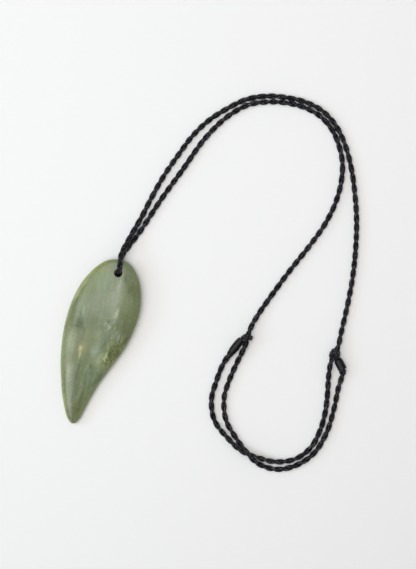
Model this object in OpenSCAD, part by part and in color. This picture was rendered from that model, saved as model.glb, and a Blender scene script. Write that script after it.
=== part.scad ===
// A tooth-shaped greenstone drop on an adjustable black cord, lying on a flat surface.
// Millimetres. +Y runs from the tip of the stone to its drilled head, and +Z is up.
// The origin is on the surface, under the middle of the stone.

/* [Stone] */
// Length of the stone, from its tip to the top of its head
stone_length = 71.6; // [66:0.2:72.2]
// Width of the stone where it is broadest
stone_width = 29.6; // [27:0.2:33]
// Thickness of the stone at its belly
stone_thickness = 6.8; // [6.4:0.1:7]
// Rise of the stone's middle plane for each millimetre towards the head
head_rise = 0.045; // [0.045:0.001:0.048]
// Depth ground off the domed back to make its flat
back_flat_depth = 0.3; // [0.15:0.05:0.35]
// Squareness of the stone's cross-section, where 2 is an ellipse
edge_fullness = 2.6; // [2:0.1:3.2]

/* [Hole] */
// Diameter of the hole through the head
hole_d = 3.2; // [3.1:0.1:3.6]
// Width of the bevel at both mouths of the hole
hole_bevel = 0.25; // [0.2:0.05:0.5]

/* [Cord] */
// Diameter of the twisted cord
cord_d = 2.1; // [1.6:0.1:2.1]

/* [Slip loops] */
// Clearance between a slip loop and the strand that slides in it
loop_gap = 0.1; // [0.05:0.05:0.15]
// Thickness of the flattened cord in a slip loop's wall
loop_wall = 1; // [0.8:0.1:1.2]
// Breadth of a slip loop along the strand in it
loop_breadth = 2.5; // [2:0.1:2.6]

/* [Whippings] */
// Diameter of the wound thread at its fullest
whipping_d = 3.3; // [3:0.1:3.4]
// Length of the left whipping, which tapers at both ends
left_whipping_l = 7.4; // [6.8:0.1:7.5]
// Length of the right whipping, which is cut off square
right_whipping_l = 4.8; // [4.3:0.1:4.8]

/* [Hidden] */

stone_color = [0.53, 0.58, 0.43];
cord_color = [0.06, 0.06, 0.07];
thread_color = [0.1, 0.1, 0.11];

// The hole's centre, and the number of facets round each kind of surface
hole_at = [2.35, 30.1];
hole_facets = 48;
section_facets = 36;
cord_facets = 8;
ring_step = 4;

// Sections across the stone. Each row is a station, its left and right edges and its thickness.
// A station is an angle along the length: 0 at the tip, 90 at the middle and 180 at the head.
// Edges are hundredths of the width, measured from the long axis. Thickness is in hundredths
// of the belly's thickness.
station_step = 10;
LEFT = 1;
RIGHT = 2;
THICKNESS = 3;
stations = [
    // station, left, right, thickness
    [0, -8.5, -8.5, 0],
    [10, -12.5, -3.5, 29],
    [20, -17.5, 0, 43],
    [30, -22.5, 3, 50],
    [40, -28, 6, 57],
    [50, -33.5, 10, 66],
    [60, -38.5, 15.5, 76],
    [70, -43.5, 23.5, 87],
    [80, -47, 32.5, 94],
    [90, -49.5, 41, 98.5],
    [100, -50, 46.5, 100],
    [110, -48.5, 49.5, 98.5],
    [120, -45, 49.5, 93],
    [130, -39.5, 46.5, 84],
    [140, -32, 41.5, 73.5],
    [150, -23.5, 34.5, 62],
    [160, -14.5, 26.5, 50],
    [170, -4, 18, 32],
    [180, 7.5, 7.5, 0]
];
half_turn = len(stations) - 1;
whole_turn = 2 * half_turn;

// The cord's routes, as points on its centre line. Where a strand lies on the surface its
// centre is one radius up.
lying = 1.05;

// Through the hole: from behind the head, up the hole, over the front rim and off the head
bight_route = [
    [2, 37, lying], [1.9, 35, lying], [2.1, 33, lying], [2.25, 31.5, lying],
    [2.3, 30.75, 1.25], [2.35, 30.15, 1.75], [2.4, 29.9, 2.5], [2.4, 30, 3.6], [2.45, 30.25, 5.2],
    [2.45, 30.45, 6.4], [2.45, 30.75, 7.2], [2.45, 31.25, 7.75], [2.45, 32.1, 7.95],
    [2.4, 33.2, 7.85], [2.3, 34.4, 7.55], [2.05, 36.1, 6.8], [1.85, 38.5, 5.2]
];

// From the front of the hole, over the other strand, round the long loop and through the right
// slip loop, then over the other strand again and up to the left whipping
front_route = [
    [1.85, 38.5, 5.2], [3.75, 46, 3.1], [6.25, 54.5, 1.5], [8.75, 64.5, lying],
    [11.75, 74.5, lying], [15.75, 84.5, lying], [19.75, 93.5, lying], [24.75, 101, lying],
    [30.75, 107.25, lying], [38.25, 113.25, lying], [46.25, 116.5, lying],
    [54.25, 117.75, lying], [62.25, 117.75, lying], [70.25, 115.75, lying],
    [77.25, 111, lying], [83, 103.75, lying], [87.5, 95.25, lying], [91, 86.25, lying],
    [94.5, 75, lying], [97, 62.5, lying], [98.5, 50, lying], [99, 38, lying],
    [99, 27, 1.3], [99, 20.5, 2.4], [97.55, 14, 2.4], [98.05, 7, 1.3], [99.25, 0, lying],
    [100, -8, lying], [99.5, -16, lying], [97.25, -23.5, lying], [92.25, -29.25, lying],
    [84.75, -32.25, 1.6], [77.25, -32.25, 3.2], [69.5, -31, 3.4], [62, -26.75, 2],
    [55.5, -21.25, lying], [52.25, -13, lying], [52.5, -5, lying], [53.75, 3, lying],
    [55.75, 8, 1.55]
];

// From the back of the hole, round the long loop and through the left slip loop, then round
// the outside of the small loop and up to the right whipping
back_route = [
    [2, 37, lying], [3.75, 41.5, lying], [7, 48.75, lying], [12.75, 64.25, lying],
    [18.75, 78.5, lying], [25, 93.5, lying], [31.75, 104, lying], [39.25, 111, lying],
    [46.5, 114, lying], [54.25, 115.5, lying], [61.75, 115.5, lying],
    [69.5, 113.5, lying], [75.75, 109.25, lying], [80, 103.75, lying], [83.25, 97, lying],
    [84.75, 89, lying], [84.5, 80, lying], [82.25, 70, lying], [77.75, 59, lying],
    [72.25, 47.5, lying], [67.25, 36, lying], [63.25, 26, 1.3], [61.5, 20, 2.4],
    [60.85, 12, 2.4], [59.5, 6, 1.3], [57.75, -3, lying], [57.25, -11, lying],
    [60, -19.75, lying], [65, -25.5, lying], [70.75, -30.5, lying], [77.5, -34.75, lying],
    [85.75, -35.25, lying], [93.25, -31.75, lying], [99.25, -25.25, lying],
    [102.5, -15.5, lying], [103.25, -5, lying], [103.1, 4, lying], [103.35, 7.25, 1.2],
    [103.4, 9.75, 1.45], [103.1, 11.8, 1.75]
];

// Each slip loop rides on the straight stretch of a route that starts at this point of it,
// this share of the way along the stretch
left_loop_stretch = 22;
left_loop_share = 0.49;
right_loop_stretch = 23;
right_loop_share = 0.5;

// The way that each whipping points, from the end of its strand towards its slip loop
left_way = [2.1, 4.5, 0.45];
right_way = [-3.1, 3.7, 0.3];

// Shape of the whippings' ends: the length of each shoulder, and the radius that it falls to
left_shoulder = 1.8;
left_end_r = 1.15;
right_shoulder = 0.3;
right_end_r = 1.4;
// A slip loop's rounding at its edges, and its facets. Its neck comes down to its whipping's
// top: the disc at its foot, and the gap under that disc.
loop_rounding = 0.35;
loop_facets = 32;
neck_foot = 0.2;
neck_foot_r = 1.1;
neck_gap = 0.02;

loop_bore_r = cord_d / 2 + loop_gap;

function unit(v) = v / norm(v);

// A smooth curve's value between b and c, a share t of the way, with neighbours a and d
function between(a, b, c, d, t) =
    0.5 * (2 * b + (c - a) * t + (2 * a - 5 * b + 4 * c - d) * t * t
           + (3 * b - a - 3 * c + d) * t * t * t);

// The outline is one closed curve: up the right side to the head, and back down the left
function edge_row(k) =
    let (turn = (k + whole_turn) % whole_turn)
    turn <= half_turn ? stations[turn][RIGHT] : stations[whole_turn - turn][LEFT];
function edge_x(angle) =
    let (k = floor(angle / station_step), t = angle / station_step - k)
    between(edge_row(k - 1), edge_row(k), edge_row(k + 1), edge_row(k + 2), t)
        * stone_width / 100;

function thickness_row(k) =
    k < 0 ? -stations[-k][THICKNESS]
    : k > half_turn ? -stations[whole_turn - k][THICKNESS]
    : stations[k][THICKNESS];
function half_thickness(angle) =
    let (k = floor(angle / station_step), t = angle / station_step - k)
    between(thickness_row(k - 1), thickness_row(k), thickness_row(k + 1), thickness_row(k + 2), t)
        * stone_thickness / 200;

function along(angle) = -stone_length / 2 * cos(angle);

ring_angles = [for (angle = [ring_step : ring_step : 180 - ring_step]) angle];

// The outline's middle is put on the long axis, and the dome of the back reaches below the
// surface by the depth that is ground off
outline_mid = (max([for (angle = ring_angles) edge_x(angle)])
               + min([for (angle = ring_angles) edge_x(360 - angle)])) / 2;
middle_z = max([for (angle = ring_angles) half_thickness(angle) - head_rise * along(angle)])
           - back_flat_depth;

function mid_z(y) = middle_z + head_rise * y;

function section(angle) =
    let (y = along(angle),
         left = edge_x(360 - angle) - outline_mid,
         right = edge_x(angle) - outline_mid,
         half = half_thickness(angle))
    [for (k = [0 : section_facets - 1])
        let (turn = k * 360 / section_facets,
             across = sign(cos(turn)) * pow(abs(cos(turn)), 2 / edge_fullness))
        [(left + right) / 2 + across * (right - left) / 2, y, mid_z(y) + half * sin(turn)]];

// Joins rings of points into a closed skin, with a fan of faces at each end
function skin_sides(rings, count) =
    [for (i = [0 : rings - 2], k = [0 : count - 1])
        let (a = i * count + k, b = i * count + (k + 1) % count)
        each [[a, b, b + count], [a, b + count, a + count]]];

module stone_body() {
    rings = [for (angle = ring_angles) section(angle)];
    count = section_facets;
    tip = len(rings) * count;
    head = tip + 1;
    last = (len(rings) - 1) * count;
    points = concat(
        [for (ring = rings) each ring],
        [[edge_x(0) - outline_mid, along(0), mid_z(along(0))]],
        [[edge_x(180) - outline_mid, along(180), mid_z(along(180))]]);
    tip_fan = [for (k = [0 : count - 1]) [tip, (k + 1) % count, k]];
    head_fan = [for (k = [0 : count - 1]) [head, last + k, last + (k + 1) % count]];
    polyhedron(points, concat(skin_sides(len(rings), count), tip_fan, head_fan), 4);
}

// Straight through the head, with a bevel at each mouth
module cord_hole() {
    hole_angle = acos(-2 * hole_at[1] / stone_length);
    half = half_thickness(hole_angle);
    rim_r = hole_d / 2 + hole_bevel;
    reach = 1;
    translate([hole_at[0], hole_at[1], mid_z(hole_at[1])]) {
        cylinder(h = 4 * half, d = hole_d, center = true, $fn = hole_facets);
        for (side = [0, 1])
            mirror([0, 0, side])
                translate([0, 0, half - hole_bevel])
                    cylinder(h = hole_bevel + reach, r1 = hole_d / 2, r2 = rim_r + reach,
                             $fn = hole_facets);
    }
}

module tooth() {
    color(stone_color)
        difference() {
            stone_body();
            cord_hole();
            translate([-stone_width, -stone_length, -stone_thickness])
                cube([2 * stone_width, 2 * stone_length, stone_thickness]);
        }
}

// A straight-sided tube with a ring at each point of a route. Its sides are laid out from a
// direction that the route never runs along. Where the cord goes on into another tube, before
// or after is that tube's nearest point, so that both ends face each other in one plane.
module tube(route, before, after, clear_of = [0, 0, 1]) {
    count = cord_facets;
    first = is_undef(before) ? route[0] : before;
    final = is_undef(after) ? route[len(route) - 1] : after;
    rings = [for (i = [0 : len(route) - 1])
        let (forward = unit((i < len(route) - 1 ? route[i + 1] : final)
                            - (i > 0 ? route[i - 1] : first)),
             across = unit(cross(forward, clear_of)),
             over = cross(across, forward))
        [for (k = [0 : count - 1])
            let (turn = (k + 0.5) * 360 / count)
            route[i] + cord_d / 2 * (cos(turn) * across + sin(turn) * over)]];
    last = (len(route) - 1) * count;
    start_cap = [for (k = [count - 1 : -1 : 0]) k];
    end_cap = [for (k = [0 : count - 1]) last + k];
    polyhedron([for (ring = rings) each ring],
               concat(skin_sides(len(route), count), [start_cap, end_cap]), 4);
}

module cord_bight() {
    color(cord_color) tube(bight_route, back_route[1], front_route[1], [1, 0, 0]);
}

module cord_front() {
    color(cord_color)
        tube(front_route, bight_route[len(bight_route) - 2], past_end(front_route, left_way));
}

module cord_back() {
    color(cord_color) tube(back_route, bight_route[1], past_end(back_route, right_way));
}

// Turns a solid built up +Z so that it stands at a point and runs along a direction
module run_from(start, direction) {
    tilt = acos(direction[2] / norm(direction));
    swing = atan2(direction[1], direction[0]);
    translate(start) rotate([0, tilt, swing]) children();
}

function route_end(route) = route[len(route) - 1];
// A point for the last ring to face, so that it lies flat under a whipping that points this way
function past_end(route, way) = route[len(route) - 2] + way;

// A barrel of wound thread, standing on the end of a strand
module whipping(route, way, length, foot_r, foot_shoulder, top_r, top_shoulder) {
    full_r = whipping_d / 2;
    run_from(route_end(route), way)
        rotate_extrude($fn = 32)
            polygon([[0, 0], [foot_r, 0], [full_r, foot_shoulder],
                     [full_r, length - top_shoulder], [top_r, length], [0, length]]);
}

module left_whipping() {
    color(thread_color)
        whipping(front_route, left_way, left_whipping_l, left_end_r, left_shoulder,
                 left_end_r, left_shoulder);
}

module right_whipping() {
    color(thread_color)
        whipping(back_route, right_way, right_whipping_l, right_end_r, right_shoulder,
                 left_end_r, 2 * right_shoulder);
}

// A loop of flattened cord on the strand that slides in it, drawn down in a neck to the top of
// its whipping
module slip_loop(strand, stretch, share, end_route, way, length) {
    from = strand[stretch];
    slide = unit(strand[stretch + 1] - from);
    centre = from + share * (strand[stretch + 1] - from);
    up = unit(way);
    loop_r = loop_bore_r + loop_wall;
    flat = loop_breadth - 2 * loop_rounding;
    difference() {
        hull() {
            run_from(route_end(end_route) + (length + neck_gap) * up, up)
                cylinder(h = neck_foot, r = neck_foot_r, $fn = 24);
            run_from(centre - flat / 2 * slide, slide)
                cylinder(h = flat, r = loop_r, $fn = loop_facets);
            run_from(centre - loop_breadth / 2 * slide, slide)
                cylinder(h = loop_breadth, r = loop_r - loop_rounding, $fn = loop_facets);
        }
        run_from(centre - 2 * loop_breadth * slide, slide)
            cylinder(h = 4 * loop_breadth, r = loop_bore_r, $fn = 48);
    }
}

module left_slip_loop() {
    color(cord_color)
        slip_loop(back_route, left_loop_stretch, left_loop_share, front_route, left_way,
                  left_whipping_l);
}

module right_slip_loop() {
    color(cord_color)
        slip_loop(front_route, right_loop_stretch, right_loop_share, back_route, right_way,
                  right_whipping_l);
}

tooth();
cord_bight();
cord_front();
cord_back();
left_slip_loop();
right_slip_loop();
left_whipping();
right_whipping();
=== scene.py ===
# Green stone tooth pendant on an adjustable black cord, lying on a pale table.
import math

import bpy
import numpy as np
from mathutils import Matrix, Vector


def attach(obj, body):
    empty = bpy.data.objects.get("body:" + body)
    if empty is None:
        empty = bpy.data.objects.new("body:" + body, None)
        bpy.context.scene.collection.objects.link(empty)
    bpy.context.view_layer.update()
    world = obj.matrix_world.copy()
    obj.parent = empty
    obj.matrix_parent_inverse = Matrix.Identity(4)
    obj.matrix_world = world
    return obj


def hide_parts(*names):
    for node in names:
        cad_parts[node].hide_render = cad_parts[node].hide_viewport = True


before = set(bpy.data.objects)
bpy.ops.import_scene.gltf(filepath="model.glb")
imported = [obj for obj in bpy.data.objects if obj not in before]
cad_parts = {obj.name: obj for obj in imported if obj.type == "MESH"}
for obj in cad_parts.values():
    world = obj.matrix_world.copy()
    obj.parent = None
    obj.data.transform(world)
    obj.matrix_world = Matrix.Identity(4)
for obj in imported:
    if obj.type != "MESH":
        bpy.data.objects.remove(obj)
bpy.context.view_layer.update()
mm = 0.001   # m
skyward = (0, 0, 1)


def tone(hue):
    # a colour given on a 0-255 screen scale, made linear for the shaders by the usual screen curve
    made = []
    for part in hue:
        part = part / 255
        made.append(part / 12.92 if part <= 0.04045 else ((part + 0.055) / 1.055) ** 2.4)
    return (*made, 1.0)


# the camera looks straight down on the table
cameraSettings = {
    "over": (39.97, 33.85),   # mm, the spot on the table in the middle of the picture
    "tableHeight": 239.0,     # mm of table from the bottom of the picture to its top
    "distance": 1000.0,       # mm
    "cordHeight": 1.0,        # mm above the table, where the distance is measured from and the scale holds
    "turn": 13.0,             # degrees, picture's up from the stone's long axis
    "sensor": 36.0,           # mm
    "sight": 20.0,            # m
}


def buildCamera(look):
    data = bpy.data.cameras.new("overheadCamera")
    data.sensor_width = look["sensor"]
    data.lens = look["sensor"] * look["distance"] / look["tableHeight"]
    data.clip_end = look["sight"]
    camera = bpy.data.objects.new("overheadCamera", data)
    bpy.context.collection.objects.link(camera)
    camera.location = (*(v * mm for v in look["over"]), (look["distance"] + look["cordHeight"]) * mm)
    camera.rotation_euler = (0, 0, math.radians(look["turn"]))
    bpy.context.scene.camera = camera
    bpy.context.scene.view_settings.view_transform = "Standard"


buildCamera(cameraSettings)
print("camera placed")


# helpers for meshes and materials
def meshObject(name, points, faces, material, uvs=None):
    mesh = bpy.data.meshes.new(name)
    mesh.from_pydata([tuple(p) for p in np.asarray(points).tolist()], [], faces)
    mesh.validate()
    mesh.shade_smooth()
    if uvs is not None:
        layer = mesh.uv_layers.new(name="along")
        corners = np.zeros(len(mesh.loops), dtype=np.int32)
        mesh.loops.foreach_get("vertex_index", corners)
        layer.data.foreach_set("uv", np.asarray(uvs, dtype=np.float32)[corners].ravel())
    made = bpy.data.objects.new(name, mesh)
    bpy.context.collection.objects.link(made)
    made.data.materials.append(material)
    return made


def ringFaces(first, rings, count):
    # quads between neighbouring rings, and a cap at both ends
    faces = []
    for i in range(rings - 1):
        for k in range(count):
            a = first + i * count + k
            b = first + i * count + (k + 1) % count
            faces.append((a, b, b + count, a + count))
    faces.append(tuple(range(first + count - 1, first - 1, -1)))
    last = first + (rings - 1) * count
    faces.append(tuple(range(last, last + count)))
    return faces


class NodeBoard:
    # short words for wiring a material's nodes together
    shaderSockets = {
        "hue": "Base Color", "roughness": "Roughness", "normal": "Normal", "ior": "IOR",
        "specular": "Specular IOR Level", "subsurface": "Subsurface Weight",
        "subsurfaceRadius": "Subsurface Radius", "subsurfaceScale": "Subsurface Scale",
    }
    mixSockets = (0, 6, 7)   # of a colour mix: its share, the colour under and the colour over
    mixResult = 2

    def __init__(self, name):
        self.material = bpy.data.materials.new(name)
        self.material.use_nodes = True
        self.tree = self.material.node_tree
        self.shader = self.tree.nodes["Principled BSDF"]

    def add(self, kind, **values):
        node = self.tree.nodes.new(kind)
        for key, value in values.items():
            setattr(node, key, value)
        return node

    def plug(self, value, socket):
        # another node's result is wired to the socket, and a fixed value is written into it
        if isinstance(value, bpy.types.NodeSocket):
            self.tree.links.new(value, socket)
        else:
            socket.default_value = value

    def plugAll(self, node, **values):
        # sockets named in camelCase: fromMin is From Min
        for key, value in values.items():
            words = "".join(" " + letter if letter.isupper() else letter for letter in key)
            self.plug(value, node.inputs[words[0].upper() + words[1:]])

    def maths(self, operation, *values):
        node = self.add("ShaderNodeMath", operation=operation)
        for value, socket in zip(values, node.inputs):
            self.plug(value, socket)
        return node.outputs[0]

    def ramp(self, value, low, high, toLow=0.0, toHigh=1.0):
        node = self.add("ShaderNodeMapRange", interpolation_type="SMOOTHSTEP")
        self.plugAll(node, value=value, fromMin=low, fromMax=high, toMin=toLow, toMax=toHigh)
        return node.outputs["Result"]

    def noise(self, vector, scale=1.0, detail=2.0, roughness=0.5, colour=False):
        node = self.add("ShaderNodeTexNoise")
        self.plugAll(node, vector=vector, scale=scale, detail=detail, roughness=roughness)
        return node.outputs["Color" if colour else "Fac"]

    def mapped(self, vector, location=(0, 0, 0), turn=0.0, scale=(1, 1, 1), kind="POINT"):
        node = self.add("ShaderNodeMapping", vector_type=kind)
        self.plugAll(node, vector=vector, location=location, rotation=(0, 0, math.radians(turn)), scale=scale)
        return node.outputs["Vector"]

    def blend(self, share, under, over):
        node = self.add("ShaderNodeMix", data_type="RGBA", clamp_factor=True)
        for number, value in zip(self.mixSockets, (share, under, over)):
            self.plug(value, node.inputs[number])
        return node.outputs[self.mixResult]

    def bump(self, height, depth, strength, **under):
        # depth is in mm
        node = self.add("ShaderNodeBump")
        self.plugAll(node, height=height, distance=depth * mm, strength=strength, **under)
        return node.outputs["Normal"]

    def millimetres(self):
        # the piece's own coordinates, in mm
        place = self.add("ShaderNodeTexCoord").outputs["Object"]
        return self.mapped(place, scale=(1 / mm,) * 3)

    def lay(self):
        # how far round a ply or thread, and how far along it, from the mesh's own map
        split = self.add("ShaderNodeSeparateXYZ")
        self.plug(self.add("ShaderNodeUVMap", uv_map="along").outputs["UV"], split.inputs[0])
        return split.outputs["X"], split.outputs["Y"]

    def shade(self, **values):
        for key, value in values.items():
            self.plug(value, self.shader.inputs[self.shaderSockets[key]])


# the cord is one black twist from whipping to whipping, through the stone
lying = 1.05   # mm, the height of a strand's middle where it lies on the table

cordLook = {
    "diameter": 2.1,      # mm, the tube round both plies, between their broad and narrow sides
    "length": 0.3465,     # m, each strand from the stone's head to its whipping
    "plyOffset": 0.6,     # mm from the cord's middle to a ply's
    "plyDepth": 0.6,      # mm, half a ply's size towards the cord's middle
    "plyBreadth": 0.76,   # mm, half its size across
    "plyGap": 0.012,      # mm from the cord's middle to a ply's flat side
    "halfPitch": 4.1,     # mm from one lobe to the next
    "sides": 30,
    "ringStep": 0.36,     # mm
    "yarns": 6,
    "yarnPitch": 5.5,     # mm, the yarns turn against the plies
    "yarnDepth": 0.1,     # mm
    # slow changes along the cord, each by how much, over how many mm and from where in the wave
    "turnWaves": [(0.55, 23.0, 0.0), (0.35, 9.7, 1.3)],
    "breadthWaves": [(0.06, 13.0, 0.6), (0.04, 3.1, 0.0)],
    # where the cord is drawn thicker: the spot and its reach in mm, and by what share
    "swells": {
        "holeFill": {"spot": (2.4, 30.1, 4.3), "reach": 1.7, "extra": 0.42},   # it opens out in the hole
        "holeRim": {"spot": (2.45, 31, 7.5), "reach": 1.6, "extra": 0.2},
        "leftTail": {"spot": (55.4, 7.3, 1.4), "reach": 2.2, "extra": 0.3},    # bound in under a whipping
        "rightTail": {"spot": (103.3, 10.6, 1.6), "reach": 1.8, "extra": 0.28},
    },
    # the fine look of the black thread: painted shade in the grooves between yarns, and pale flecks on the
    # yarns' backs as painted glints
    "grooveShadeHue": (4, 4, 6), "yarnHue": (19, 19, 23), "waxHue": (96, 95, 104),
    "grooveShadeFade": (0.15, 0.9),   # from the bottom of a groove, 0, to a yarn's back, 1; the painted shade fades out over this
    "waxFade": (0.4, 1.0),
    "glintFlecks": (0.5, 0.62),
    "grain": {"scale": 2.2, "detail": 4, "roughness": 0.65},
    "flecks": {"scale": 1.1},
    "roughness": (0.3, 0.55),
    "shine": 0.4,
    "fuzz": 0.08, "fuzzStrength": 0.9,   # mm
    # the cord's way in mm, read off the photo; both strands run from the stone outward
    "frontRoute": [
        [1.85, 38.5, 5.2], [3.75, 46, 3.1], [6.25, 54.5, 1.5], [8.75, 64.5, lying],
        [11.75, 74.5, lying], [15.75, 84.5, lying], [19.75, 93.5, lying], [24.75, 101, lying],
        [30.75, 107.25, lying], [38.25, 113.25, lying], [46.25, 116.5, lying],
        [54.25, 117.75, lying], [62.25, 117.75, lying], [70.25, 115.75, lying],
        [77.25, 111, lying], [83, 103.75, lying], [87.5, 95.25, lying], [91, 86.25, lying],
        [94.5, 75, lying], [97, 62.5, lying], [98.5, 50, lying], [99, 38, lying],
        [99, 27, 1.3], [99, 20.5, 2.4], [97.55, 14, 2.4], [98.05, 7, 1.3], [99.25, 0, lying],
        [100, -8, lying], [99.5, -16, lying], [97.25, -23.5, lying], [92.25, -29.25, lying],
        [84.75, -32.25, 1.6], [77.25, -32.25, 3.2], [69.5, -31, 3.4], [62, -26.75, 2],
        [55.5, -21.25, lying], [52.25, -13, lying], [52.5, -5, lying], [53.75, 3, lying],
        [55.75, 8, 1.55],
    ],
    "backRoute": [
        [2, 37, lying], [3.75, 41.5, lying], [7, 48.75, lying], [12.75, 64.25, lying],
        [18.75, 78.5, lying], [25, 93.5, lying], [31.75, 104, lying], [39.25, 111, lying],
        [46.5, 114, lying], [54.25, 115.5, lying], [61.75, 115.5, lying],
        [69.5, 113.5, lying], [75.75, 109.25, lying], [80, 103.75, lying], [83.25, 97, lying],
        [84.75, 89, lying], [84.5, 80, lying], [82.25, 70, lying], [77.75, 59, lying],
        [72.25, 47.5, lying], [67.25, 36, lying], [63.25, 26, 1.3], [61.5, 20, 2.4],
        [60.85, 12, 2.4], [59.5, 6, 1.3], [57.75, -3, lying], [57.25, -11, lying],
        [60, -19.75, lying], [65, -25.5, lying], [70.75, -30.5, lying], [77.5, -34.75, lying],
        [85.75, -35.25, lying], [93.25, -31.75, lying], [99.25, -25.25, lying],
        [102.5, -15.5, lying], [103.25, -5, lying], [103.1, 4, lying], [103.35, 7.25, 1.2],
        [103.4, 9.75, 1.45], [103.1, 11.8, 1.75],
    ],
    # from the back strand's start under the head, up through the hole and over its rim to the front strand's
    "bightRoute": [
        [2, 37, lying], [1.9, 35, lying], [2.1, 33, lying], [2.25, 31.5, lying],
        [2.3, 30.75, 1.25], [2.35, 30.15, 1.75], [2.4, 29.9, 2.5], [2.4, 30, 3.6], [2.45, 30.25, 5.2],
        [2.45, 30.45, 6.4], [2.45, 30.75, 7.2], [2.45, 31.25, 7.75], [2.45, 32.1, 7.95],
        [2.4, 33.2, 7.85], [2.3, 34.4, 7.55], [2.05, 36.1, 6.8], [1.85, 38.5, 5.2],
    ],
}
grainSpread = (0.3, 0.7)   # nearly all of a noise lies between these


def runAlong(line):
    return np.concatenate([[0], np.cumsum(np.linalg.norm(np.diff(line, axis=0), axis=1))])


def smoothLine(points, step, perSpan=60):
    # an even walk along a smooth curve through given points
    points = np.array(points, float)
    chord = np.concatenate([[0], np.cumsum(np.sqrt(np.linalg.norm(np.diff(points, axis=0), axis=1)))])
    slopes = np.zeros_like(points)
    for i in range(len(points)):
        a, b = max(i - 1, 0), min(i + 1, len(points) - 1)
        if 0 < i < len(points) - 1:
            before = (points[i] - points[a]) / (chord[i] - chord[a])
            after = (points[b] - points[i]) / (chord[b] - chord[i])
            share = (chord[i] - chord[a]) / (chord[b] - chord[a])
            slopes[i] = before * (1 - share) + after * share
        else:
            slopes[i] = (points[b] - points[a]) / (chord[b] - chord[a])
    t = np.linspace(0, 1, perSpan, endpoint=False)[:, None]
    fine = []
    for i in range(len(points) - 1):
        span = chord[i + 1] - chord[i]
        fine.append((2 * t**3 - 3 * t**2 + 1) * points[i] + (t**3 - 2 * t**2 + t) * span * slopes[i]
                    + (3 * t**2 - 2 * t**3) * points[i + 1] + (t**3 - t**2) * span * slopes[i + 1])
    fine = np.concatenate([*fine, points[-1:]])
    run = runAlong(fine)
    even = np.linspace(0, run[-1], max(2, int(round(run[-1] / step)) + 1))
    return np.stack([np.interp(even, run, fine[:, axis]) for axis in range(3)], axis=1)


def headings(line):
    ahead = np.gradient(line, axis=0)
    return ahead / np.linalg.norm(ahead, axis=1)[:, None]


def carriedFrames(line):
    # directions across the line that turn with it and never twist
    ahead = headings(line)
    side = np.cross(ahead[0], skyward)
    side /= np.linalg.norm(side)
    sides = [side]
    for i in range(1, len(line)):
        side = side - ahead[i] * np.dot(side, ahead[i])
        side = side / np.linalg.norm(side)
        sides.append(side)
    sides = np.array(sides)
    return sides, np.cross(ahead, sides)


def addWaves(start, run, terms):
    level = start
    for amount, length, phase in terms:
        level = level + amount * np.sin(run / length + phase)
    return level


def plyRings(line, sides, ups, turn, run, look, breadth=1.0):
    # the surface of one ply that winds round the line; its flat side faces the other ply
    around = np.linspace(0, 2 * math.pi, look["sides"], endpoint=False)
    lay = around[None, :] + 2 * math.pi * run[:, None] / look["yarnPitch"]
    yarn = np.abs(np.cos(look["yarns"] / 2 * lay))
    swell = 1 - (1 - yarn) * look["yarnDepth"] / look["plyDepth"]
    outward = np.cos(around)[None, :] * look["plyDepth"] * swell + look["plyOffset"]
    outward = np.maximum(outward, look["plyGap"])
    across = np.sin(around)[None, :] * look["plyBreadth"] * swell * np.asarray(breadth).reshape(-1, 1)
    lean, rise = np.cos(turn)[:, None], np.sin(turn)[:, None]
    x = outward * lean - across * rise
    y = outward * rise + across * lean
    rings = line[:, None, :] + x[..., None] * sides[:, None, :] + y[..., None] * ups[:, None, :]
    rings[..., 2] = np.maximum(rings[..., 2], 0.0)   # pressed flat where a lobe meets the table
    return rings


def twistObject(name, line, sides, ups, turn, run, look, material, breadth=1.0):
    points, faces, uvs = [], [], []
    count = look["sides"]
    for ply in (0, math.pi):
        rings = plyRings(line, sides, ups, turn + ply, run, look, breadth)
        faces += ringFaces(len(points) * len(line) * count, len(line), count)
        points.append(rings.reshape(-1, 3))
        u = np.tile((np.arange(count) / count + 0.5) % 1, len(line))   # seam on the hidden side
        uvs.append(np.stack([u, np.repeat(run, count)], axis=1))
    return meshObject(name, np.concatenate(points) * mm, faces, material, np.concatenate(uvs))


def cordMaterial(look):
    board = NodeBoard("blackWaxedCord")
    spot = board.millimetres()
    grain, flecks = board.noise(spot, **look["grain"]), board.noise(spot, **look["flecks"])
    # the same yarns as in the mesh: 1 on a yarn's back, 0 in the groove between two
    around, along = board.lay()
    turn = board.maths("ADD", around, board.maths("DIVIDE", along, look["yarnPitch"]))
    wave = board.maths("COSINE", board.maths("MULTIPLY", turn, math.pi * look["yarns"]))
    yarn = board.maths("ABSOLUTE", wave)
    # painted shade: the grooves between the yarns are drawn darker than the yarns' backs
    dark = board.blend(board.ramp(yarn, *look["grooveShadeFade"]), tone(look["grooveShadeHue"]), tone(look["yarnHue"]))
    # pale flecks on the yarns' backs: painted glints of light
    glints = board.maths("MULTIPLY", board.ramp(yarn, *look["waxFade"]), board.ramp(flecks, *look["glintFlecks"]))
    board.shade(
        hue=board.blend(glints, dark, tone(look["waxHue"])),
        roughness=board.ramp(grain, *grainSpread, *look["roughness"]),
        specular=board.maths("MULTIPLY", yarn, look["shine"]),
        normal=board.bump(grain, look["fuzz"], look["fuzzStrength"]),
    )
    return board.material


blackCord = cordMaterial(cordLook)
frontRoute, backRoute, bightRoute = cordLook["frontRoute"], cordLook["backRoute"], cordLook["bightRoute"]

wholeLine = smoothLine(frontRoute[::-1] + bightRoute[::-1][1:] + backRoute[1:], cordLook["ringStep"])
wholeRun = runAlong(wholeLine)
wholeTurn = math.pi * wholeRun / cordLook["halfPitch"] + addWaves(0, wholeRun, cordLook["turnWaves"])
wholeBreadth = addWaves(1, wholeRun, cordLook["breadthWaves"])
wholeSwell = np.ones(len(wholeLine))
for swell in cordLook["swells"].values():
    away = np.linalg.norm(wholeLine - np.array(swell["spot"]), axis=1)
    wholeSwell += swell["extra"] * np.exp(-(away / swell["reach"]) ** 2)
wholeSides, wholeUps = (way * wholeSwell[:, None] for way in carriedFrames(wholeLine))


def nearestRing(point):
    return int(np.argmin(np.linalg.norm(wholeLine - np.array(point), axis=1)))


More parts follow.
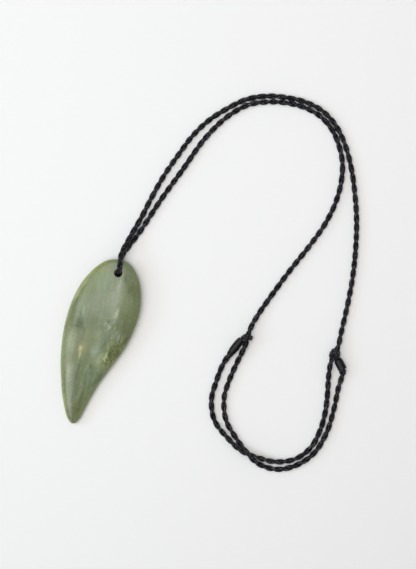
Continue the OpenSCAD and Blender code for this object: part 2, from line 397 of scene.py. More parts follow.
def cutPiece(name, start, end):
    # one piece of the whole twist, between the rings nearest to two points
    part = slice(nearestRing(start), nearestRing(end) + 1)
    piece = twistObject(name, wholeLine[part], wholeSides[part], wholeUps[part], wholeTurn[part],
                        wholeRun[part], cordLook, blackCord, wholeBreadth[part])
    return piece, wholeLine[part]


frontStrand, frontLine = cutPiece("frontStrand", frontRoute[-1], frontRoute[0])
bight = cutPiece("bight", bightRoute[-1], bightRoute[0])[0]
backStrand, backLine = cutPiece("backStrand", backRoute[0], backRoute[-1])
for piece, node in ((frontStrand, "cord_front"), (bight, "cord_bight"), (backStrand, "cord_back")):
    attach(piece, "root")
    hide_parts(node)
print("cord twisted:", round(float(wholeRun[-1])), "mm")


# each strand ends in a slip loop round the other one, bound shut by a whipping
loopLook = dict(
    cordLook, plyOffset=0.34, plyDepth=0.36, plyBreadth=0.62, halfPitch=3.0, yarnDepth=0.03,
    sides=22, ringStep=0.16,
    ringRadius=1.67,      # mm from the middle of the strand inside it to the loop's own
    tailRise=0.5,         # mm, half of what lies between the loop's two ends
    tailReach=0.15,       # mm that the ends stand clear of the whipping
    flatness=0.72,        # of the loop's thin way, which points out from the strand
    firstTurn=0.4,        # radians
    corners=(48, 75, 105, 135, 165, 195, 225, 255, 285, 312),   # degrees round the strand
)
whippingLook = {
    "perTurn": 28, "sides": 8,        # points for each turn of the thread, and round the thread itself
    "rise": 0.5, "spread": 1.1,       # the thread is drawn flat, so the turns lie smooth
    "barrelRings": 24, "barrelSides": 40,
    "gap": 0.02,                      # mm kept at the barrel's ends and over the table
    "crown": 102,                     # degrees round the barrel, where a lighter stripe is painted along its top as a painted highlight
    "crownFade": (0.84, 1.0),
    "darkHue": (6, 6, 8), "threadHue": (17, 17, 20), "wornHue": (60, 60, 65),
    "grain": {"scale": 4.0, "detail": 3, "roughness": 0.6},
    "threadFade": (0.4, 0.75),
    "wearFade": (0.35, 0.6), "wear": (0.3, 1.0),   # less where the grain is low, so the painted highlight is patchy
    "roughness": (0.3, 0.45),
    "shine": 0.25,
    "fuzz": 0.04, "fuzzStrength": 0.4,   # mm
}
leftKnot = {
    "slide": [[61.5, 20, 2.4], [60.85, 12, 2.4]], "share": 0.49,   # where it rides, and how far along
    "foot": [55.75, 8, 1.55], "way": [2.1, 4.5, 0.45],
    "length": 7.4,
    "profile": [[0, 1.3], [0.5, 1.58], [1.5, 1.8], [3.4, 1.85], [5.4, 1.75], [6.6, 1.62], [7.4, 1.45]],
    "thread": 0.3,
    "lean": 0.0, "broad": 1.45,   # mm that the loop leans along the strand, and its breadth
}
rightKnot = {
    "slide": [[99, 20.5, 2.4], [97.55, 14, 2.4]], "share": 0.5,
    "foot": [103.1, 11.8, 1.75], "way": [-3.1, 3.7, 0.3],
    "length": 4.8,
    "profile": [[0, 1.75], [0.2, 1.92], [1.2, 1.98], [3.8, 1.9], [4.5, 1.74], [4.8, 1.5]],
    "thread": 0.3,
    "lean": 1.04, "broad": 1.9,
}


def unit(v):
    return np.array(v, float) / np.linalg.norm(v)


def buildWhipping(name, knot, look, material):
    # a solid barrel with one fine thread wound round it from end to end
    foot, way = np.array(knot["foot"], float), unit(knot["way"])
    side = unit(np.cross(way, skyward))
    up = np.cross(side, way)
    heights, radii = np.array(knot["profile"], float).T
    threadRadius = knot["thread"] / 2

    def outFrom(angles):
        return np.cos(angles)[:, None] * side + np.sin(angles)[:, None] * up

    turns = knot["length"] / knot["thread"] - 1
    t = np.linspace(0, 1, int(turns * look["perTurn"]) + 1)
    height = threadRadius + t * (knot["length"] - 2 * threadRadius)
    angle = 2 * math.pi * turns * t
    outward = outFrom(angle)
    radius = np.interp(height, heights, radii) - threadRadius
    middle = foot + height[:, None] * way + radius[:, None] * outward
    around = np.linspace(0, 2 * math.pi, look["sides"], endpoint=False)[None, :, None]
    section = look["rise"] * np.cos(around) * outward[:, None, :] + look["spread"] * np.sin(around) * way
    thread = (middle[:, None, :] + threadRadius * section).reshape(-1, 3)
    crown = (angle - math.radians(look["crown"])) / (2 * math.pi)   # a whole number on the crown
    threadMap = np.repeat(np.stack([crown, height], axis=1), look["sides"], axis=0)
    # the barrel under the thread
    steps = np.linspace(look["gap"], knot["length"] - look["gap"], look["barrelRings"])
    core = np.interp(steps, heights, radii) - threadRadius
    rim = outFrom(np.linspace(0, 2 * math.pi, look["barrelSides"], endpoint=False))
    barrel = (foot + steps[:, None, None] * way + core[:, None, None] * rim).reshape(-1, 3)
    barrelMap = np.full((len(barrel), 2), 0.5)   # nowhere near the crown
    faces = ringFaces(0, len(middle), look["sides"]) + ringFaces(len(thread), len(steps), look["barrelSides"])
    points = np.concatenate([thread, barrel])
    points[:, 2] = np.maximum(points[:, 2], look["gap"])   # pressed flat over the table
    return meshObject(name, points * mm, faces, material, np.concatenate([threadMap, barrelMap]))


def buildSlipLoop(name, knot, look, material):
    # the cord's flattened end, round the strand that slides in it and back down to the whipping
    start, end = np.array(knot["slide"], float)
    slide = unit(end - start)
    centre = start + knot["share"] * (end - start)
    way = unit(knot["way"])
    top = np.array(knot["foot"]) + knot["length"] * way
    level = unit(np.cross(slide, skyward))
    if np.dot(level, top - centre) < 0:
        level = -level
    lift = np.array(skyward, float)
    tail = top + look["tailReach"] * way
    points = [tail + look["tailRise"] * lift]
    for degrees in look["corners"]:
        a = math.radians(degrees)
        out = math.cos(a) * level + math.sin(a) * lift
        points.append(centre + look["ringRadius"] * out - slide * knot["lean"] * math.sin(a))
    points.append(tail - look["tailRise"] * lift)
    line = smoothLine(points, look["ringStep"])
    run = runAlong(line)
    ahead = headings(line)
    broad = np.array([unit(slide - a * np.dot(slide, a)) for a in ahead])
    sides, ups = broad * knot["broad"], np.cross(ahead, broad) * look["flatness"]
    turn = math.pi * run / look["halfPitch"] + look["firstTurn"]
    return twistObject(name, line, sides, ups, turn, run, look, material)


def threadMaterial(look):
    board = NodeBoard("woundThread")
    grain = board.noise(board.millimetres(), **look["grain"])
    dark, light = tone(look["darkHue"]), tone(look["threadHue"])
    thread = board.blend(board.ramp(grain, *look["threadFade"]), dark, light)
    around, along = board.lay()
    # a lighter stripe along the barrel's top: a painted highlight, made patchy by the grain
    crown = board.maths("COSINE", board.maths("MULTIPLY", around, 2 * math.pi))
    patchy = board.ramp(grain, *look["wearFade"], *look["wear"])
    sheen = board.maths("MULTIPLY", board.ramp(crown, *look["crownFade"]), patchy)
    board.shade(
        hue=board.blend(sheen, thread, tone(look["wornHue"])),
        roughness=board.ramp(grain, *grainSpread, *look["roughness"]),
        specular=look["shine"],
        normal=board.bump(grain, look["fuzz"], look["fuzzStrength"]),
    )
    return board.material


blackThread = threadMaterial(whippingLook)
for side, knot in (("left", leftKnot), ("right", rightKnot)):
    loop = buildSlipLoop(side + "Loop", knot, loopLook, blackCord)
    whipping = buildWhipping(side + "Whipping", knot, whippingLook, blackThread)
    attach(loop, "root")
    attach(whipping, "root")
    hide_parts(side + "_slip_loop")
    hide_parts(side + "_whipping")

for strand, route, line, side in ((frontStrand, frontRoute, frontLine[::-1], "left"),
                                  (backStrand, backRoute, backLine, "right")):
    [v * mm for v in route[0]]
print("knots tied")


# the stone is a drop with a domed face, drilled right through near its broad head
toothLook = {
    "length": 71.6, "width": 29.6, "thickness": 6.8,   # mm
    "headRise": 0.045,     # mm up for each mm along, so the head is lifted
    "backFlat": 0.3,       # mm ground off the back
    "fullness": 2.6,       # 2 is an oval section, and more is boxier
    "holeAt": (2.35, 30.1), "holeD": 3.2, "bevel": 0.25,   # mm
    "holeSides": 72,
    "cutterReach": 1.2,    # mm that the drill goes on past the bevel
    "cutterLift": 0.02,    # mm that its bevel stands over the face, for a clean cut
    "bevelStep": 10,       # degrees
    "sharpAngle": 38,      # degrees, where the shading breaks at the hole's mouth
    "rings": 170, "around": 132,
    "rimReach": 3.2, "rightRim": 4,   # mm from the left rim inward, and how many times faster on the right
    # one row every ten degrees from the tip to the head: left edge, right edge, thickness (hundredths)
    "rowStep": 10,
    "rows": [
        (-8.5, -8.5, 0), (-12.5, -3.5, 29), (-17.5, 0, 43), (-22.5, 3, 50), (-28, 6, 57), (-33.5, 10, 66),
        (-38.5, 15.5, 76), (-43.5, 23.5, 87), (-47, 32.5, 94), (-49.5, 41, 98.5), (-50, 46.5, 100),
        (-48.5, 49.5, 98.5), (-45, 49.5, 93), (-39.5, 46.5, 84), (-32, 41.5, 73.5), (-23.5, 34.5, 62),
        (-14.5, 26.5, 50), (-4, 18, 32), (7.5, 7.5, 0),
    ],
}


def throughRows(row, degrees):
    # a smooth curve through the rows
    step = degrees / toothLook["rowStep"]
    k = math.floor(step)
    a, b, c, d, t = row(k - 1), row(k), row(k + 1), row(k + 2), step - k
    return 0.5 * (2 * b + (c - a) * t + (2 * a - 5 * b + 4 * c - d) * t * t + (3 * b - a - 3 * c + d) * t**3)


def toothEdge(degrees):
    # the right edge up to 180 degrees, and the left edge on from there
    rows = toothLook["rows"]
    whole = 2 * (len(rows) - 1)

    def row(k):
        k %= whole
        return rows[k][1] if k < len(rows) else rows[whole - k][0]

    return throughRows(row, degrees) * toothLook["width"] / 100   # from hundredths


def toothHalfThickness(degrees):
    rows = toothLook["rows"]
    top = len(rows) - 1

    def row(k):
        # counts as less than nothing past both ends, so that the curve comes in steeply
        return -rows[-k][2] if k < 0 else -rows[2 * top - k][2] if k > top else rows[k][2]

    return throughRows(row, degrees) * toothLook["thickness"] / 200   # from hundredths, and half of it


def alongTooth(degrees):
    return -toothLook["length"] / 2 * math.cos(math.radians(degrees))


def degreesAt(y):
    return math.degrees(math.acos(max(-1, min(1, -2 * y / toothLook["length"]))))


def buildTooth(look, material):
    stationAngles = np.linspace(0, 180, look["rings"] + 2)[1:-1]
    coarse = range(4, 177, 4)   # degrees, fine enough to find the outermost and lowest spots
    middleX = (max(toothEdge(a) for a in coarse) + min(toothEdge(360 - a) for a in coarse)) / 2
    middleZ = max(toothHalfThickness(a) - look["headRise"] * alongTooth(a) for a in coarse) - look["backFlat"]
    count = look["around"]
    around = np.linspace(0, 2 * math.pi, count, endpoint=False)
    u = np.cos(around)
    v = np.sign(np.sin(around)) * np.sqrt(np.maximum(0, 1 - np.abs(u) ** look["fullness"]))
    points = []
    for a in stationAngles:
        y = alongTooth(a)
        left, right, half = toothEdge(360 - a) - middleX, toothEdge(a) - middleX, toothHalfThickness(a)
        x = (left + right) / 2 + u * (right - left) / 2
        z = middleZ + look["headRise"] * y + half * v
        points.append(np.stack([x, np.full(count, y), np.maximum(z, 0)], axis=1))
    for a in (0, 180):
        y = alongTooth(a)
        points.append([[toothEdge(a) - middleX, y, max(0, middleZ + look["headRise"] * y)]])
    points = np.concatenate(points)
    faces = ringFaces(0, len(stationAngles), count)[:-2]
    tip, head, last = len(points) - 2, len(points) - 1, (len(stationAngles) - 1) * count
    for k in range(count):
        faces.append((tip, (k + 1) % count, k))
        faces.append((head, last + k, last + (k + 1) % count))
    stone = meshObject("tooth", points * mm, faces, material)
    drillHole(stone, look, middleZ)
    markRim(stone.data, look, middleX)
    return stone


def markRim(mesh, look, middleX):
    # 1 on the rim, fading to 0 further in, and sooner on the right, the shaded side, where the painted glow
    # stays narrow
    spots = np.zeros(len(mesh.vertices) * 3, dtype=np.float32)
    mesh.vertices.foreach_get("co", spots)
    values = []
    for x, y, z in spots.reshape(-1, 3) / mm:
        a = degreesAt(y)
        left, right = toothEdge(360 - a) - middleX, toothEdge(a) - middleX
        inward = min(x - left, (right - x) * look["rightRim"])
        values.append(max(0.0, 1 - inward / look["rimReach"]))
    mesh.attributes.new("rim", "FLOAT", "POINT").data.foreach_set("value", np.array(values, dtype=np.float32))


def drillHole(stone, look, middleZ):
    # a straight hole with a rounded bevel at both mouths
    x, y = look["holeAt"]
    half = toothHalfThickness(degreesAt(y))
    middle = middleZ + look["headRise"] * y
    r, bevel, reach = look["holeD"] / 2, look["bevel"], look["cutterReach"]
    profile = [(r + bevel + reach, half + reach)]
    for degrees in range(0, 90, look["bevelStep"]):
        a = math.radians(degrees)
        height = half - bevel * (1 - math.cos(a)) + look["cutterLift"]
        profile.append((r + bevel * (1 - math.sin(a)), height))
    profile = profile + [(radius, -height) for radius, height in profile[::-1]]
    count = look["holeSides"]
    around = np.linspace(0, 2 * math.pi, count, endpoint=False)
    rings = []
    for radius, height in profile[::-1]:
        ring = [x + radius * np.cos(around), y + radius * np.sin(around), np.full(count, middle + height)]
        rings.append(np.stack(ring, axis=1))
    faces = ringFaces(0, len(rings), count)
    cutter = meshObject("holeCutter", np.concatenate(rings) * mm, faces, stone.data.materials[0])
    cut = stone.modifiers.new("hole", "BOOLEAN")
    cut.operation, cut.solver, cut.object = "DIFFERENCE", "EXACT", cutter
    made = bpy.data.meshes.new_from_object(stone.evaluated_get(bpy.context.evaluated_depsgraph_get()))
    stone.modifiers.clear()
    old, stone.data = stone.data, made
    bpy.data.meshes.remove(old)
    bpy.data.objects.remove(cutter)
    made.shade_smooth()
    made.set_sharp_from_angle(angle=math.radians(look["sharpAngle"]))


# the stone's colours
stonePaint = {
    "ground": [(112, 124, 88), (122, 134, 100)],
    "noises": {
        # fibres run along the stone, strokes across it, and threads through the moss
        "fibres": {"turn": 5, "stretch": (0.8, 0.08, 0.3), "detail": 4, "roughness": 0.55},
        "strokes": {"turn": -34, "stretch": (1.5, 0.32, 0.5), "detail": 3, "roughness": 0.6},
        "threads": {"turn": -24, "stretch": (2.2, 0.9, 0.5), "detail": 3, "roughness": 0.6},
        "clouds": {"turn": 0, "stretch": (0.16, 0.1, 0.12), "detail": 4, "roughness": 0.5},
        "mottle": {"turn": 0, "stretch": (0.8, 0.8, 0.8), "detail": 5, "roughness": 0.6},
        "waves": {"turn": 0, "stretch": (0.16, 0.16, 0.16), "detail": 2, "roughness": 0.5},
    },
    # parts of the stone that have a grain of their own, written as the patches are
    "zones": {
        "fibrous": ((5.6, 1), (6, 11), -14, 0.9, 1.0),
        "mossy": ((7.3, -4.8), (4.8, 9.5), -22, 0.7, 1.0),
        "lower": ((-0.5, -16), (5, 14), -10, 0.8, 1.0),
    },
    # grain over the patches: a noise, where in it the grain starts and is full, and the zone that it keeps to
    "grain": [
        {"noise": "fibres", "grows": (0.45, 0.7), "fill": 0.14, "hue": (160, 172, 144)},
        {"noise": "fibres", "grows": (0.5, 0.28), "fill": 0.13, "hue": (76, 90, 58)},
        {"noise": "mottle", "grows": (0.5, 0.72), "fill": 0.17, "hue": (160, 170, 140)},
        {"noise": "mottle", "grows": (0.5, 0.28), "fill": 0.16, "hue": (80, 92, 60)},
        {"noise": "strokes", "zone": "fibrous", "grows": (0.53, 0.7), "fill": 0.22, "hue": (174, 184, 160)},
        {"noise": "strokes", "zone": "fibrous", "grows": (0.47, 0.32), "fill": 0.3, "hue": (78, 90, 58)},
        {"noise": "threads", "zone": "mossy", "grows": (0.52, 0.64), "fill": 0.55, "hue": (146, 154, 98)},
        {"noise": "threads", "zone": "mossy", "grows": (0.5, 0.36), "fill": 0.6, "hue": (70, 78, 36)},
        {"noise": "fibres", "zone": "lower", "grows": (0.5, 0.66), "fill": 0.2, "hue": (150, 164, 136)},
        {"noise": "fibres", "zone": "lower", "grows": (0.48, 0.34), "fill": 0.25, "hue": (80, 94, 66)},
    ],
    # the rim is painted limier than the face: a painted glow of the pale table's light through the thin
    # stone, wider on the lit left
    "rim": {"ragged": 0.7, "grows": (0.4, 1.0), "fill": 0.7, "hue": (156, 163, 112)},
    # the hole's wall is painted nearly black, as painted shade deep in the hole; its place is the one that it
    # is drilled at
    "hole": ((1.84, 1.84), 0, 0.12, 0.95, (9, 10, 9)),
    "through": 1000,   # mm, the third size of every patch, right through the stone
    "roughness": (0.18, 0.26),
    # polished, with a little light under the surface; its scale is in m
    "polish": {
        "ior": 1.6, "specular": 0.5,
        "subsurface": 0.2, "subsurfaceRadius": (1.0, 1.1, 0.7), "subsurfaceScale": 0.002,
    },
    "waveDepth": 0.2, "waveStrength": 0.5,   # mm
    "pitDepth": 0.03, "pitStrength": 0.3,    # mm
    # how far in mm the outlines wander, and by which noise
    "wander": {
        "patches": {"reach": (2.6, 3.6), "scale": 0.3, "detail": 3, "roughness": 0.6},
        "marks": {"reach": (0.9, 1.2), "scale": 1.3, "detail": 3, "roughness": 0.6},
    },
    # soft patches: place and size in mm, turn in degrees, how much fades out, how much it covers, and hue
    "patches": {
        # the broad cast of the stone
        "headLeft": ((-5, 30), (6.5, 7), -10, 1.0, 0.9, (134, 144, 90)),
        "shoulder": ((-8.2, 23), (5, 13), -20, 1.0, 0.9, (123, 137, 90)),
        "mistTop": ((-2.6, 25), (4.5, 8), 0, 1.0, 0.95, (118, 136, 94)),
        "mistLow": ((-2.5, 17), (6, 7), 0, 1.0, 0.85, (118, 129, 98)),
        "mistGreen": ((-6, 19.5), (3, 5), -10, 1.0, 0.8, (102, 120, 77)),
        "greyBand": ((3.6, 19), (4.4, 9), -4, 0.9, 0.95, (138, 147, 118)),
        "midShade": ((0, 13), (4.5, 4), 0, 1.0, 0.8, (110, 123, 91)),
        "midLeft": ((-4, 9), (5, 6), 0, 1.0, 0.85, (112, 124, 89)),
        "leftPale": ((-10.3, 13), (2.6, 8), -4, 1.0, 0.9, (129, 142, 112)),
        "headRight": ((7.5, 30.5), (5, 6), 30, 1.0, 0.8, (113, 125, 92)),
        "headShade": ((7.8, 25.5), (3, 7), 12, 1.0, 0.85, (102, 114, 80)),
        "flank": ((11.8, 16), (5.4, 16), 0, 0.8, 0.9, (114, 123, 86)),
        "flankGreen": ((8.9, 19), (2.8, 6), 0, 1.0, 0.85, (131, 141, 101)),
        "flankShade": ((10.3, 8), (4.5, 6), 0, 1.0, 0.85, (98, 109, 73)),
        "flankTop": ((10.8, 24), (2.6, 5), 24, 1.0, 0.85, (100, 112, 72)),
        # left side, from the smudge down to the tip
        # painted highlight: the pale haze of a reflection on the left side
        "leftGlow": ((-11, -2.4), (3.8, 9.6), 2, 1.0, 0.95, (166, 175, 143)),
        "centreOlive": ((-3.2, 2), (4.4, 5), 0, 1.0, 0.9, (125, 133, 93)),
        # painted highlight along the streak that the window's reflection also makes
        "streakHighlight": ((-9.7, -11.2), (2.6, 12), 8, 1.0, 0.9, (146, 154, 124)),
        "lowerShade": ((-5.2, -15.5), (2.6, 10), -6, 1.0, 0.9, (95, 104, 74)),
        "lowerTeal": ((-4, -23), (2.2, 6), -14, 1.0, 0.85, (92, 107, 70)),
        "tanHalo": ((-5.2, -3.8), (3.2, 5), -6, 1.0, 0.9, (146, 147, 104)),
        # the mossy lower right
        "tealPool": ((0.4, -3.6), (3.2, 5.5), -8, 1.0, 0.95, (147, 161, 137)),
        "paleFlow": ((0.4, 2.4), (1.8, 5), 4, 1.0, 0.8, (143, 152, 120)),
        "tealRight": ((3.4, 4), (3, 6), -14, 1.0, 0.85, (122, 135, 110)),
        "flowRight": ((7.2, 4.6), (2.4, 4.2), -12, 1.0, 0.85, (129, 140, 113)),
        "mossDeep": ((8, -3), (3.2, 6), -24, 0.7, 0.95, (100, 108, 66)),
        "mossRim": ((11, 2), (2, 6), -22, 1.0, 0.85, (100, 106, 66)),
        "limePool": ((2.9, -7.4), (3.2, 5.4), -26, 1.0, 0.95, (158, 167, 129)),
        "lowerGreen": ((0, -15), (3.6, 9), -10, 1.0, 0.95, (114, 128, 98)),
        "lowerEdge": ((4, -15), (1.4, 6), -26, 1.0, 0.85, (100, 112, 84)),
        "lowerOlive": ((-0.3, -21.6), (3, 7), -12, 0.9, 0.95, (103, 113, 77)),
        "tipOlive": ((-2, -29.5), (3.6, 9), -6, 1.0, 0.95, (95, 104, 62)),
    },
    # small marks on top of them, written the same way
    "marks": {
        # lime shoulder
        "limeHead": ((-8.7, 27.4), (1.7, 3.6), -36, 0.75, 0.85, (146, 155, 98)),
        "limeShoulder": ((-10.6, 23), (1.5, 4.6), -24, 0.9, 0.85, (162, 169, 126)),
        "limeRim": ((-12.6, 17.6), (1.3, 4.8), -14, 0.8, 0.9, (172, 178, 138)),
        "limeFleck": ((-14.2, 7.6), (0.7, 2.2), -2, 0.9, 0.9, (156, 166, 100)),
        "oliveNick": ((-14, 4), (1.1, 1.8), 0, 0.75, 0.9, (102, 106, 60)),
        # round the hole and the pale band below it
        "paleUnderHole": ((4, 25.2), (0.9, 4), -2, 0.75, 0.85, (151, 159, 135)),
        "tealUnderHole": ((0.2, 27), (1.2, 3.4), 0, 1.0, 0.5, (112, 132, 100)),
        "mauveUpper": ((1.4, 22.6), (1.6, 1.6), 0, 0.75, 0.6, (118, 122, 101)),
        "mauveMiddle": ((-4, 18.3), (2, 1.4), 20, 0.75, 0.6, (123, 128, 100)),
        "headStreak": ((5.9, 28.2), (1.2, 2.8), 14, 1.0, 0.75, (82, 96, 62)),
        "headStroke": ((8.2, 24), (0.6, 2.6), 16, 0.75, 0.6, (92, 104, 66)),
        # the pale lens and the fibres under it
        "lensBlue": ((4.3, 12.3), (0.9, 2.4), 0, 0.75, 0.85, (141, 151, 129)),
        "lensTan": ((5.5, 13.2), (1.3, 4.2), -6, 1.0, 0.95, (178, 184, 157)),
        "lensFoot": ((5.4, 9.9), (1.1, 1.4), 0, 0.75, 0.85, (136, 146, 121)),
        "tealTop": ((2.9, 9.4), (1.4, 1.3), 0, 0.75, 0.9, (90, 107, 82)),
        "blueBand": ((4.6, 8.9), (0.7, 1.8), -20, 0.75, 0.7, (131, 144, 129)),
        "streakLeft": ((1.9, 8.3), (0.5, 1.7), -8, 0.75, 0.9, (146, 161, 142)),
        "blotch": ((3.4, 7.6), (0.7, 1.2), 30, 0.75, 0.9, (150, 164, 146)),
        "core": ((4.1, 7.2), (0.9, 0.9), 0, 0.9, 0.9, (160, 173, 151)),
        "coreLow": ((3.7, 6.4), (0.6, 1.3), -39, 0.9, 0.8, (160, 170, 144)),
        "dot": ((5.4, 6.9), (0.6, 0.7), 0, 0.75, 0.9, (98, 110, 80)),
        "streakRight": ((6.2, 7.1), (0.6, 1.6), -28, 0.9, 0.8, (155, 163, 135)),
        "streakThin": ((7.2, 5.3), (0.4, 1.8), -16, 0.75, 0.85, (143, 153, 126)),
        "greyFlow": ((6.3, 3.4), (0.8, 2), -8, 0.75, 0.8, (135, 145, 121)),
        "paleBlue": ((8.6, 3.8), (0.7, 2.1), 2, 0.75, 0.9, (143, 151, 133)),
        "darkThread": ((9.35, 2.9), (0.4, 1.8), 6, 0.75, 0.95, (86, 97, 56)),
        "limeThread": ((9.9, 3.4), (0.4, 2.2), -3, 0.75, 0.9, (146, 154, 112)),
        "darkRim": ((12, 3.6), (1, 3.4), -22, 0.75, 0.85, (92, 98, 60)),
        "tealVein": ((3.7, 0.8), (0.8, 3.4), -15, 0.75, 0.95, (98, 114, 86)),
        "tealFoot": ((2.6, -1.8), (1.2, 1.8), -6, 0.75, 0.8, (112, 128, 99)),
        # moss and the vein along it
        "oliveShelf": ((6.3, 0.9), (1.2, 1.4), 0, 0.75, 0.85, (138, 144, 108)),
        "mossTop": ((8.6, -0.7), (1.9, 1.7), -30, 0.9, 0.8, (102, 110, 70)),
        "mossKnot": ((7.4, -3.2), (1.4, 1.4), 0, 0.75, 0.9, (88, 96, 58)),
        "mossCorner": ((6.4, -4.1), (0.8, 1.5), 10, 0.75, 0.95, (84, 92, 44)),
        "mossEdge": ((9.2, -2.6), (1, 1.6), -34, 0.75, 0.9, (90, 98, 44)),
        "mossFoot": ((6.1, -8.7), (1.8, 2.6), -30, 1.0, 0.8, (128, 136, 88)),
        "wedge": ((5.9, -5.4), (0.6, 1.7), 33, 0.75, 0.9, (138, 145, 96)),
        "veinTop": ((5.15, -0.9), (0.5, 3), 7, 0.75, 0.95, (153, 160, 123)),
        "veinLow": ((5, -5), (0.8, 3), -11, 0.75, 0.95, (182, 190, 150)),
        "veinBead": ((4.8, -6.4), (0.6, 1.2), 14, 0.75, 1.0, (188, 194, 156)),
        "paleDots": ((6.9, -6.9), (0.7, 0.6), 30, 0.75, 0.8, (150, 157, 118)),
        "greyStreak": ((2.9, -5.6), (0.8, 2.6), -30, 1.0, 0.75, (158, 168, 136)),
        "limeFan": ((4.6, -8.4), (1.1, 2.6), 16, 1.0, 0.7, (142, 151, 104)),
        "darkHair": ((4.4, -8.2), (0.35, 2), 14, 0.75, 0.8, (112, 124, 82)),
        # left middle: smudge, pale strokes and the tan spot
        "strokeOne": ((-8.2, 11.6), (0.8, 4), 4, 0.9, 0.9, (140, 154, 126)),
        "strokeGap": ((-9, 9.7), (0.7, 2), 0, 0.75, 0.7, (102, 116, 78)),
        "smudge": ((-8.5, 6.6), (2.5, 3.2), 20, 1.0, 1.0, (78, 90, 60)),
        "smudgeFoot": ((-8.8, 4.9), (2.6, 1.2), 4, 0.75, 0.85, (86, 98, 66)),
        "smudgeTail": ((-6.8, 3.9), (1.5, 1.8), 30, 0.75, 0.75, (96, 104, 68)),
        "smudgeArm": ((-11.4, 4.8), (1.6, 1.3), 0, 0.75, 0.6, (112, 122, 92)),
        "paleSpot": ((-12.8, 3.3), (0.7, 0.6), 0, 0.75, 0.7, (142, 152, 118)),
        "tanSpot": ((-5.95, -4.1), (1.2, 2), -4, 0.85, 0.95, (190, 184, 126)),
        "tanLow": ((-5.7, -6.4), (0.9, 2.6), 4, 0.75, 0.9, (172, 170, 119)),
        # lower part, down to the tip
        "tealStroke": ((-1.9, -11.8), (0.8, 3.4), -10, 0.75, 0.85, (126, 141, 110)),
        "brownSpot": ((-0.4, -10.7), (0.9, 1.2), 0, 0.75, 0.85, (100, 108, 76)),
        "oliveLeft": ((-1.8, -16), (1, 2), -8, 0.75, 0.7, (106, 119, 84)),
        "tealLow": ((0.7, -16.4), (0.9, 3.2), -4, 0.75, 0.8, (115, 131, 102)),
        "darkLow": ((2.2, -18), (0.8, 1.5), 0, 0.75, 0.9, (92, 105, 74)),
        "paleFoot": ((3.2, -10.9), (0.8, 2), -8, 0.9, 0.9, (142, 152, 124)),
        "darkFoot": ((4.9, -13.6), (0.7, 1.4), -20, 0.75, 0.85, (97, 109, 84)),
        "oliveBlotch": ((-1.7, -17.8), (1.5, 1.7), 10, 0.9, 0.8, (101, 110, 72)),
        "oliveSpot": ((-2.1, -20.1), (1, 0.9), 0, 0.75, 0.8, (93, 102, 64)),
        "oliveFlow": ((0.4, -22.3), (0.9, 2.4), -12, 0.75, 0.8, (121, 132, 92)),
        "darkFlow": ((-1.5, -25), (0.8, 3), -6, 0.75, 0.8, (88, 99, 64)),
        "darkTip": ((-1.5, -29.6), (1, 2.6), 0, 0.75, 0.85, (88, 97, 52)),
        "rimTip": ((-7.7, -27.2), (1.1, 6), 21, 1.0, 0.95, (158, 166, 112)),
        "tipShade": ((-4.4, -31.6), (1.5, 4.6), 16, 1.0, 0.95, (68, 78, 34)),
        "tipDot": ((-2.7, -34.1), (0.7, 0.6), 0, 0.75, 0.8, (80, 92, 56)),
        "tipLime": ((-3.5, -34.6), (0.5, 0.5), 0, 0.75, 0.8, (132, 145, 80)),
    },
}


def stoneMaterial(look, holeAt):
    board = NodeBoard("greenstone")
    spot = board.millimetres()
    noises = {}
    for name, kind in look["noises"].items():
        field = board.mapped(spot, turn=kind["turn"], scale=kind["stretch"])
        noises[name] = board.noise(field, detail=kind["detail"], roughness=kind["roughness"])
    mottle = noises["mottle"]

    def wandering(reach, **kind):
        # the stone's coordinates, pushed about by a noise
        node = board.add("ShaderNodeVectorMath", operation="MULTIPLY_ADD")
        push = board.noise(spot, colour=True, **kind)
        centred = board.mapped(spot, location=(-reach[0] / 2, -reach[1] / 2, 0))
        for value, socket in zip((push, (*reach, 0), centred), node.inputs):
            board.plug(value, socket)
        return node.outputs[0]

    def inside(vector, place, size, turn, edge, fill):
        size = (*size, look["through"])
        local = board.mapped(vector, location=(*place, 0), turn=turn, scale=size, kind="TEXTURE")
        ball = board.add("ShaderNodeTexGradient", gradient_type="SPHERICAL")   # 1 in the middle, 0 at the rim
        board.plug(local, ball.inputs["Vector"])
        return board.ramp(ball.outputs["Fac"], 0.0, edge, 0.0, fill)

    low, high = (tone(hue) for hue in look["ground"])
    hue = board.blend(board.ramp(noises["clouds"], *grainSpread), low, high)
    for layer in ("patches", "marks"):
        vector = wandering(**look["wander"][layer])
        for *shape, patchHue in look[layer].values():
            hue = board.blend(inside(vector, *shape), hue, tone(patchHue))
    zones = {name: inside(spot, *shape) for name, shape in look["zones"].items()}
    for grain in look["grain"]:
        share = board.ramp(noises[grain["noise"]], *grain["grows"], 0, grain["fill"])
        if "zone" in grain:
            share = board.maths("MULTIPLY", zones[grain["zone"]], share)
        hue = board.blend(share, hue, tone(grain["hue"]))
    # painted glow along the rim, strongest on the lit left side
    rim = board.add("ShaderNodeAttribute", attribute_name="rim").outputs["Fac"]
    ragged = board.maths("MULTIPLY", board.maths("SUBTRACT", mottle, 0.5), look["rim"]["ragged"])
    share = board.ramp(board.maths("ADD", rim, ragged), *look["rim"]["grows"], 0, look["rim"]["fill"])
    hue = board.blend(share, hue, tone(look["rim"]["hue"]))
    # painted shade: the hole's wall drawn nearly black
    *shape, holeShadeHue = look["hole"]
    hue = board.blend(inside(spot, holeAt, *shape), hue, tone(holeShadeHue))
    waves = board.bump(noises["waves"], look["waveDepth"], look["waveStrength"])
    board.shade(
        hue=hue,
        roughness=board.ramp(mottle, *grainSpread, *look["roughness"]),
        normal=board.bump(mottle, look["pitDepth"], look["pitStrength"], normal=waves),
        **look["polish"],
    )
    return board.material


tooth = buildTooth(toothLook, stoneMaterial(stonePaint, toothLook["holeAt"]))
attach(tooth, "root")
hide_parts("tooth")
print("stone ground and drilled")


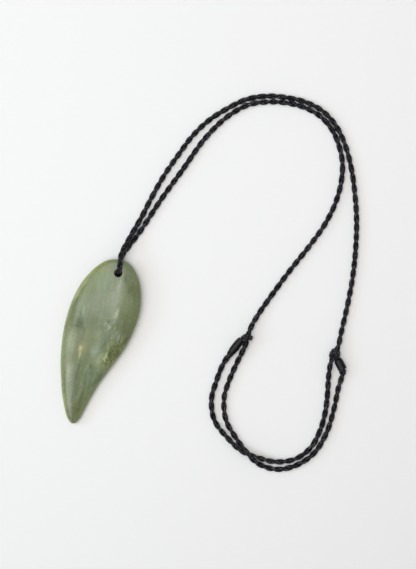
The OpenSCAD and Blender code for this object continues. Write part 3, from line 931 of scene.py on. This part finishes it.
# the table and its light, in m, degrees and watts; a mirrored lamp shows its image in the stone
studio = {
    "tableTone": 0.93, "tableReach": 1.6, "tableRoughness": 0.75, "tableSpecular": 0.2,
    "skyStrength": 0.36,
    "skyHue": (1.04, 1.0, 0.94),   # a warm room and cooler light from the left, so the shadows are warm
    "lamps": {
        # a big softbox overhead, up and to the left; its mirror image is the pale haze on the stone
        "softbox": {
            "place": (-0.46, 0.335, 1.3), "aim": (-0.46, 0.335, 0), "size": (1.2, 0.9),
            "spread": 120, "power": 3.15, "hue": (1, 1, 1), "mirrored": True,
        },
        # a window to the left, where the shadows fall away from; its image is the streak down to the tip
        "window": {
            "place": (-0.386, -0.388, 0.844), "aim": (-0.006, -0.388, 0.294), "size": (0.23, 0.5),
            "spread": 180, "power": 1.45, "hue": (1, 1, 1), "mirrored": True,
        },
        # a lamp whose soft edge leaves the lower right of the table darker
        "ceiling": {
            "place": (-0.12, 0.07, 1.3), "aim": (-0.045, 0.165, 0), "radius": 0.42,
            "cone": 30.0, "fade": 1.0, "power": 44.7, "hue": (1, 1, 1), "mirrored": False,
        },
        # light from low on the left, which draws the shadows out to the right
        "lowLeft": {
            "place": (-1.5, -0.12, 0.85), "aim": (0, 0, 0), "size": (0.5, 0.5),
            "spread": 180, "power": 5.0, "hue": (0.76, 1.0, 1.28), "mirrored": False,
        },
    },
}


def hangLamp(name, look):
    light = bpy.data.lights.new(name, "SPOT" if "cone" in look else "AREA")
    light.energy = look["power"]
    light.color = look["hue"]
    if "cone" in look:
        light.shadow_soft_size = look["radius"]
        light.spot_size = math.radians(look["cone"])
        light.spot_blend = look["fade"]
    else:
        light.shape = "RECTANGLE"
        light.size, light.size_y = look["size"]
        light.spread = math.radians(look["spread"])
    lamp = bpy.data.objects.new(name, light)
    bpy.context.collection.objects.link(lamp)
    lamp.visible_glossy = look["mirrored"]
    lamp.location = look["place"]
    lamp.rotation_euler = (Vector(look["aim"]) - Vector(look["place"])).to_track_quat("-Z", "Y").to_euler()


def buildStudio(look):
    board = NodeBoard("paleTable")
    paleHue = (look["tableTone"],) * 3 + (1,)
    board.shade(hue=paleHue, roughness=look["tableRoughness"], specular=look["tableSpecular"])
    reach = look["tableReach"]
    corners = [(-reach, -reach, 0), (reach, -reach, 0), (reach, reach, 0), (-reach, reach, 0)]
    table = meshObject("table", corners, [(0, 1, 2, 3)], board.material)
    world = bpy.data.worlds.new("softRoom")
    bpy.context.scene.world = world
    world.use_nodes = True
    sky = world.node_tree.nodes["Background"]
    sky.inputs["Color"].default_value = (*look["skyHue"], 1)
    sky.inputs["Strength"].default_value = look["skyStrength"]
    for name, lamp in look["lamps"].items():
        hangLamp(name, lamp)


buildStudio(studio)
print("table lit")
